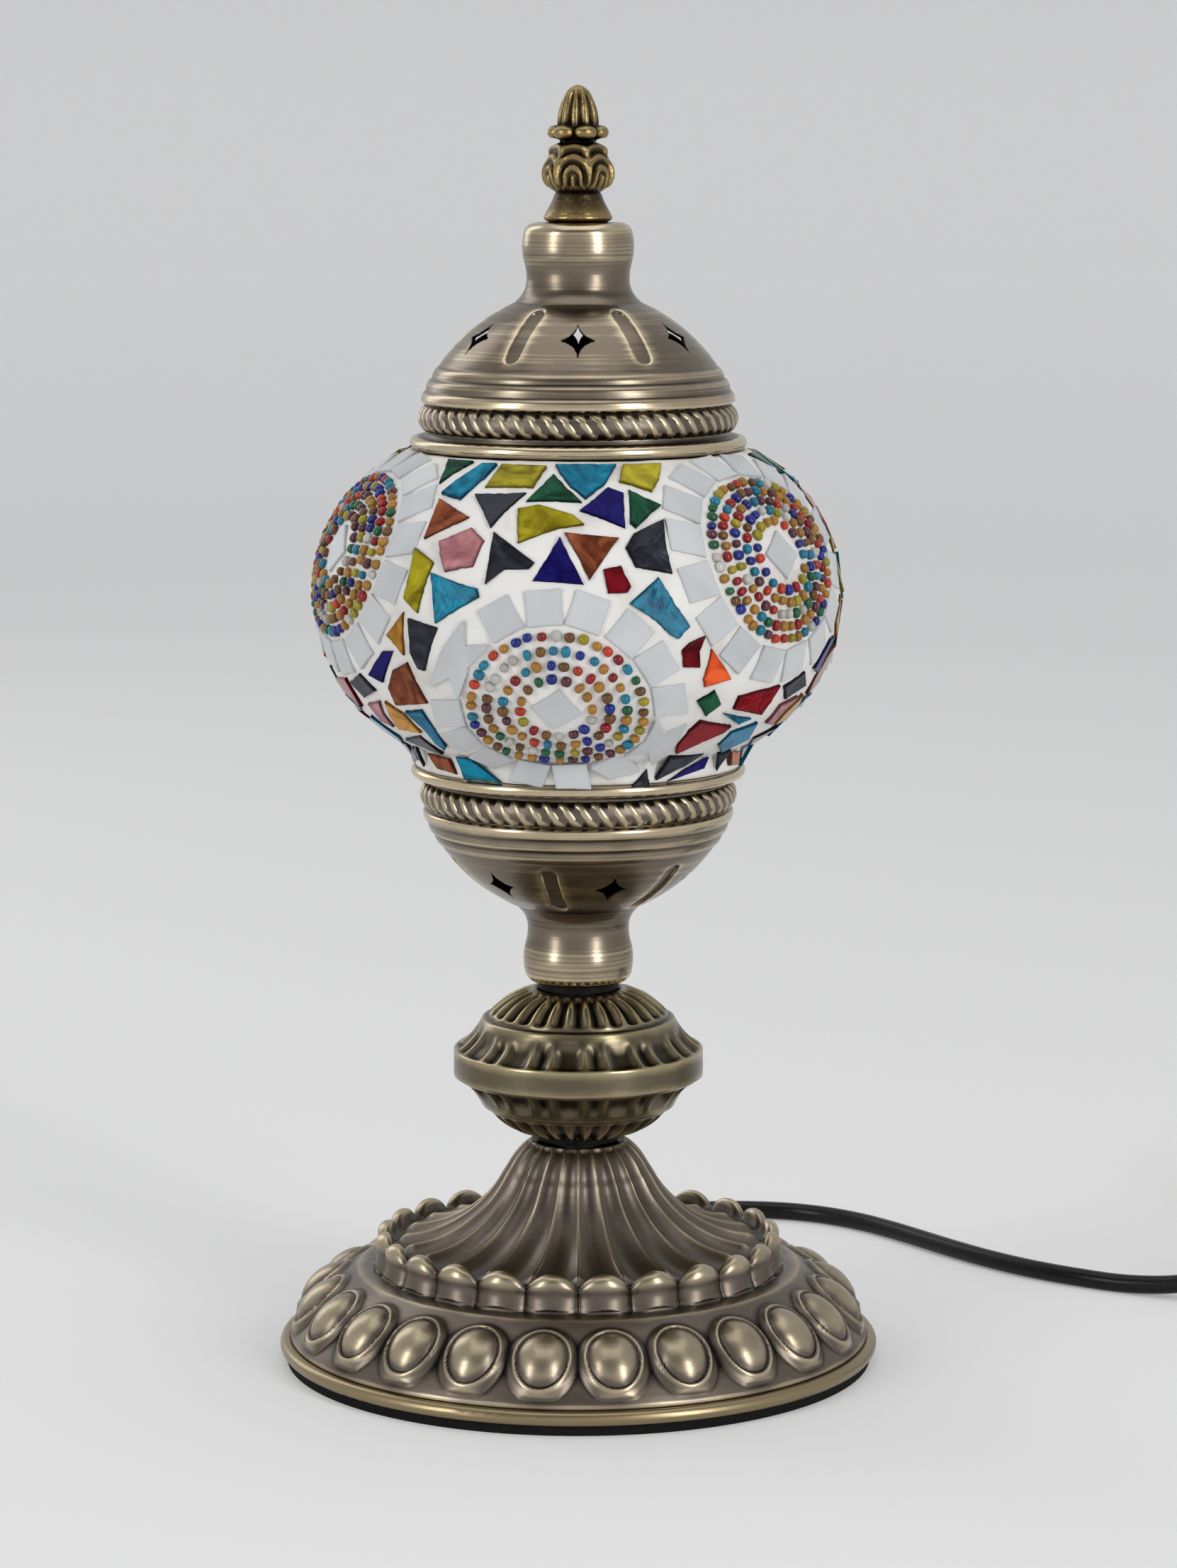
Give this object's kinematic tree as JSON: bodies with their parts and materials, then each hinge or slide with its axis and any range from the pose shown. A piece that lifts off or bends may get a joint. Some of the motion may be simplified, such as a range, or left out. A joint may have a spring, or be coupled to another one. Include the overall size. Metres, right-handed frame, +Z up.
{
  "type": "mosaic glass table lamp",
  "caption": "Table lamp with a pressed brass base and knob, a mosaic glass globe in a brass cup, and a pierced brass cap that lifts off.",
  "frame": {"origin": "centre of the underside of the base pad, on the lamp's axis", "axes": "+Z up along the lamp's axis, +X to the lamp's right seen from the front, +Y to the back where the cord leaves"},
  "size_m": [0.4054, 0.2509, 0.3242],
  "materials": {
    "aged_brass": "pressed sheet, aged dark in the hollows and worn bright on the edges",
    "gold_brass": "satin gold-coloured brass, lightly worn",
    "dark_spacer": "black, semi-matt",
    "pad_foam": "matt black foam rubber",
    "ballast_iron": "rough cast, dark",
    "zinc_steel": "zinc plated",
    "globe_clear": "clear blown glass",
    "plaster": "matt, slightly rough off-white plaster",
    "glass_white": "milky glass over plaster, glossy",
    "glass_green": "glossy, cut edges",
    "glass_teal": "glossy, cut edges",
    "glass_blue": "glossy, cut edges",
    "glass_olive": "glossy, cut edges",
    "glass_amber": "glossy, cut edges",
    "glass_charcoal": "glossy, cut edges",
    "glass_indigo": "glossy, cut edges",
    "glass_dark_red": "glossy, cut edges",
    "glass_orange": "glossy, cut edges",
    "glass_brown": "glossy, cut edges",
    "glass_pink": "glossy, cut edges",
    "glass_beads": "small glossy glass beads, mostly gold-brown",
    "holder_plastic": "moulded, ivory",
    "holder_ceramic": "white, glazed",
    "contact_brass": "plain",
    "bulb_glass": "opal white",
    "bulb_plastic": "white",
    "bulb_metal": "rolled thread",
    "cord_black": "black PVC",
    "black_plastic": "moulded, fine grain",
    "pin_nickel": "nickel plated",
    "silicone": "translucent white",
    "wire_sleeve": "brown PVC"
  },
  "bodies": {
    "lamp": {"base_pad": "pad_foam", "base_plate": "gold_brass", "ballast": "ballast_iron", "base_shell": "aged_brass", "stem_rod": "zinc_steel", "bottom_nut": "zinc_steel", "bottom_washer": "zinc_steel", "lower_neck": "dark_spacer", "knob_lower": "aged_brass", "knob_upper": "aged_brass", "upper_neck": "dark_spacer", "lower_cup": "aged_brass", "lower_rope": "aged_brass", "cup_washer": "zinc_steel", "cup_nut": "zinc_steel", "globe_seat": "silicone", "globe_glass": "globe_clear", "grout": "plaster", "tiles_white": "glass_white", "tiles_green": "glass_green", "tiles_teal": "glass_teal", "tiles_blue": "glass_blue", "tiles_olive": "glass_olive", "tiles_amber": "glass_amber", "tiles_charcoal": "glass_charcoal", "tiles_indigo": "glass_indigo", "tiles_dark_red": "glass_dark_red", "tiles_orange": "glass_orange", "tiles_brown": "glass_brown", "tiles_pink": "glass_pink", "bead_rings": "glass_beads", "holder_base": "holder_plastic", "holder_body": "holder_plastic", "holder_core": "holder_ceramic", "holder_shell": "contact_brass", "holder_contact": "contact_brass", "inner_wires": "wire_sleeve", "strain_relief": "black_plastic", "cord_lead": "cord_black", "cord_link": "cord_black", "cord_coil": "cord_black", "cord_tail": "cord_black", "switch_base": "black_plastic", "switch_cover": "black_plastic", "switch_terminals": "contact_brass", "plug_body": "black_plastic", "plug_pins": "pin_nickel"},
    "cap": {"cap_shell": "aged_brass", "cap_rope": "aged_brass", "cap_washer": "zinc_steel", "cap_nut": "zinc_steel", "finial_stud": "zinc_steel", "finial": "gold_brass"},
    "bulb": {"bulb_glass": "bulb_glass", "bulb_housing": "bulb_plastic", "bulb_cap": "bulb_metal", "bulb_tip": "bulb_metal"},
    "rocker": {"switch_rocker": "black_plastic"}
  },
  "joints": [
    {"name": "cap_lift", "type": "slide", "parent": "lamp", "child": "cap", "axis": [0, 0, 1], "range_m": [0, 0.07]},
    {"name": "bulb_turn", "type": "hinge", "parent": "lamp", "child": "bulb", "pos_m": [0, 0, 0.15], "axis": [0, 0, 1], "range_deg": [0, 1080]},
    {"name": "rocker_tilt", "type": "hinge", "parent": "lamp", "child": "rocker", "pos_m": [0.207, 0.0525, 0.0105], "axis": [0, 1, 0], "range_deg": [0, 16]}
  ]
}
